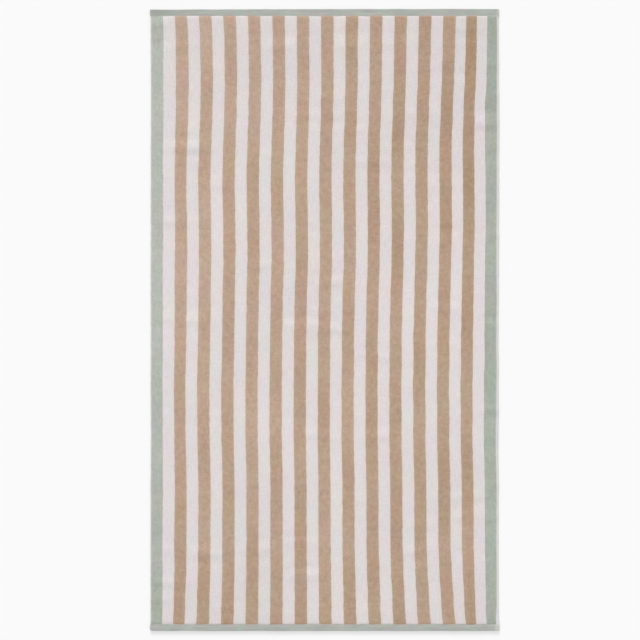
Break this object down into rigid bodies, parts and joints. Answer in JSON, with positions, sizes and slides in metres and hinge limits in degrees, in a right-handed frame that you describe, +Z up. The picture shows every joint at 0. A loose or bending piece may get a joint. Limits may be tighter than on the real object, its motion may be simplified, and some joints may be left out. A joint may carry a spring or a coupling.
{
  "type": "beach towel",
  "caption": "Large beach towel lying flat: soft cotton pile in lengthwise white and sand stripes, sage green side bands and a narrow stitched green hem at each end.",
  "frame": {"origin": "on the surface that the towel lies on, under the middle of its outline", "axes": "+X across the towel to the right of the picture, +Y along it to the picture's top end, +Z up out of the face with the cut pile"},
  "size_m": [0.9, 1.6, 0.0045],
  "materials": {
    "towel_cotton": "sheared cotton pile on the face and looped pile on the back, yarn dyed in white, sand and sage stripes, with flat woven sage hems"
  },
  "bodies": {
    "root": {"towel": "towel_cotton"}
  },
  "joints": []
}
